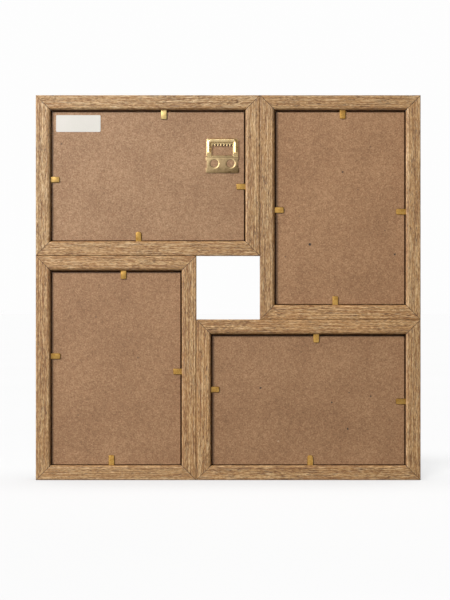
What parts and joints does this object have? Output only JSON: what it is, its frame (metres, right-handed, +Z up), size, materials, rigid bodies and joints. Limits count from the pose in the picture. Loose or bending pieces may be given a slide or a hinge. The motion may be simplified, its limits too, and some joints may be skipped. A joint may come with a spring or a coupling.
{
  "type": "collage photo frame",
  "caption": "Wooden collage frame: oak-grain picture frames joined in a pinwheel round an open square window, with glass, hardboard backs, bendable tabs and a toothed flip-up hanger.",
  "frame": {"origin": "middle of the bottom edge, half way through the depth", "axes": "+Z up; +Y towards the viewing side with the glass; -Y towards the wall, where the backing boards, tabs and hanger are; +X to the right when seen from the rear"},
  "size_m": [0.302, 0.016, 0.302],
  "materials": {
    "oak": "satin",
    "hardboard": "matte",
    "dowel_wood": "matte",
    "glass": "gloss",
    "paper": "matte",
    "sticker_paper": "satin",
    "tab_metal": "satin",
    "hanger_metal": "satin",
    "nail_steel": "satin"
  },
  "bodies": {
    "frame": {"top_left_rail_top": "oak", "top_left_rail_bottom": "oak", "top_left_rail_left": "oak", "top_left_rail_right": "oak", "top_right_rail_top": "oak", "top_right_rail_bottom": "oak", "top_right_rail_left": "oak", "top_right_rail_right": "oak", "bottom_left_rail_top": "oak", "bottom_left_rail_bottom": "oak", "bottom_left_rail_left": "oak", "bottom_left_rail_right": "oak", "bottom_right_rail_top": "oak", "bottom_right_rail_bottom": "oak", "bottom_right_rail_left": "oak", "bottom_right_rail_right": "oak", "top_left_glass": "glass", "top_left_photo_insert": "paper", "top_left_backing_board": "hardboard", "top_left_tab_shanks": "tab_metal", "top_right_glass": "glass", "top_right_photo_insert": "paper", "top_right_backing_board": "hardboard", "top_right_tab_shanks": "tab_metal", "bottom_left_glass": "glass", "bottom_left_photo_insert": "paper", "bottom_left_backing_board": "hardboard", "bottom_left_tab_shanks": "tab_metal", "bottom_right_glass": "glass", "bottom_right_photo_insert": "paper", "bottom_right_backing_board": "hardboard", "bottom_right_tab_shanks": "tab_metal", "corner_v_nails": "nail_steel", "joining_dowels": "dowel_wood", "hanger_plate": "hanger_metal", "blank_sticker": "sticker_paper"},
    "hanger_bail": {"hanger_bail": "hanger_metal"},
    "top_left_tab_top": {"top_left_tab_top": "tab_metal"},
    "top_left_tab_bottom": {"top_left_tab_bottom": "tab_metal"},
    "top_left_tab_left": {"top_left_tab_left": "tab_metal"},
    "top_left_tab_right": {"top_left_tab_right": "tab_metal"},
    "top_right_tab_top": {"top_right_tab_top": "tab_metal"},
    "top_right_tab_bottom": {"top_right_tab_bottom": "tab_metal"},
    "top_right_tab_left": {"top_right_tab_left": "tab_metal"},
    "top_right_tab_right": {"top_right_tab_right": "tab_metal"},
    "bottom_left_tab_top": {"bottom_left_tab_top": "tab_metal"},
    "bottom_left_tab_bottom": {"bottom_left_tab_bottom": "tab_metal"},
    "bottom_left_tab_left": {"bottom_left_tab_left": "tab_metal"},
    "bottom_left_tab_right": {"bottom_left_tab_right": "tab_metal"},
    "bottom_right_tab_top": {"bottom_right_tab_top": "tab_metal"},
    "bottom_right_tab_bottom": {"bottom_right_tab_bottom": "tab_metal"},
    "bottom_right_tab_left": {"bottom_right_tab_left": "tab_metal"},
    "bottom_right_tab_right": {"bottom_right_tab_right": "tab_metal"}
  },
  "joints": [
    {"name": "hanger_bail_hinge", "type": "hinge", "parent": "frame", "child": "hanger_bail", "pos_m": [-0.0046, -0.00515, 0.2542], "axis": [1, 0, 0], "range_deg": [-1.3, 153]},
    {"name": "top_left_tab_top_bend", "type": "hinge", "parent": "frame", "child": "top_left_tab_top", "pos_m": [-0.0505, -0.00465, 0.2902], "axis": [-1, 0, 0], "range_deg": [0, 90]},
    {"name": "top_left_tab_bottom_bend", "type": "hinge", "parent": "frame", "child": "top_left_tab_bottom", "pos_m": [-0.0704, -0.00465, 0.1878], "axis": [1, 0, 0], "range_deg": [0, 90]},
    {"name": "top_left_tab_left_bend", "type": "hinge", "parent": "frame", "child": "top_left_tab_left", "pos_m": [-0.1392, -0.00465, 0.2359], "axis": [0, 0, -1], "range_deg": [0, 90]},
    {"name": "top_left_tab_right_bend", "type": "hinge", "parent": "frame", "child": "top_left_tab_right", "pos_m": [0.0132, -0.00465, 0.2304], "axis": [0, 0, 1], "range_deg": [0, 90]},
    {"name": "top_right_tab_top_bend", "type": "hinge", "parent": "frame", "child": "top_right_tab_top", "pos_m": [0.09, -0.00465, 0.2902], "axis": [-1, 0, 0], "range_deg": [0, 90]},
    {"name": "top_right_tab_bottom_bend", "type": "hinge", "parent": "frame", "child": "top_right_tab_bottom", "pos_m": [0.0842, -0.00465, 0.1378], "axis": [1, 0, 0], "range_deg": [0, 90]},
    {"name": "top_right_tab_left_bend", "type": "hinge", "parent": "frame", "child": "top_right_tab_left", "pos_m": [0.0368, -0.00465, 0.212], "axis": [0, 0, -1], "range_deg": [0, 90]},
    {"name": "top_right_tab_right_bend", "type": "hinge", "parent": "frame", "child": "top_right_tab_right", "pos_m": [0.1392, -0.00465, 0.2107], "axis": [0, 0, 1], "range_deg": [0, 90]},
    {"name": "bottom_left_tab_top_bend", "type": "hinge", "parent": "frame", "child": "bottom_left_tab_top", "pos_m": [-0.0822, -0.00465, 0.1642], "axis": [-1, 0, 0], "range_deg": [0, 90]},
    {"name": "bottom_left_tab_bottom_bend", "type": "hinge", "parent": "frame", "child": "bottom_left_tab_bottom", "pos_m": [-0.0917, -0.00465, 0.0118], "axis": [1, 0, 0], "range_deg": [0, 90]},
    {"name": "bottom_left_tab_left_bend", "type": "hinge", "parent": "frame", "child": "bottom_left_tab_left", "pos_m": [-0.1392, -0.00465, 0.0971], "axis": [0, 0, -1], "range_deg": [0, 90]},
    {"name": "bottom_left_tab_right_bend", "type": "hinge", "parent": "frame", "child": "bottom_left_tab_right", "pos_m": [-0.0368, -0.00465, 0.0851], "axis": [0, 0, 1], "range_deg": [0, 90]},
    {"name": "bottom_right_tab_top_bend", "type": "hinge", "parent": "frame", "child": "bottom_right_tab_top", "pos_m": [0.0692, -0.00465, 0.1142], "axis": [-1, 0, 0], "range_deg": [0, 90]},
    {"name": "bottom_right_tab_bottom_bend", "type": "hinge", "parent": "frame", "child": "bottom_right_tab_bottom", "pos_m": [0.0645, -0.00465, 0.0118], "axis": [1, 0, 0], "range_deg": [0, 90]},
    {"name": "bottom_right_tab_left_bend", "type": "hinge", "parent": "frame", "child": "bottom_right_tab_left", "pos_m": [-0.0132, -0.00465, 0.071], "axis": [0, 0, -1], "range_deg": [0, 90]},
    {"name": "bottom_right_tab_right_bend", "type": "hinge", "parent": "frame", "child": "bottom_right_tab_right", "pos_m": [0.1392, -0.00465, 0.0616], "axis": [0, 0, 1], "range_deg": [0, 90]}
  ]
}
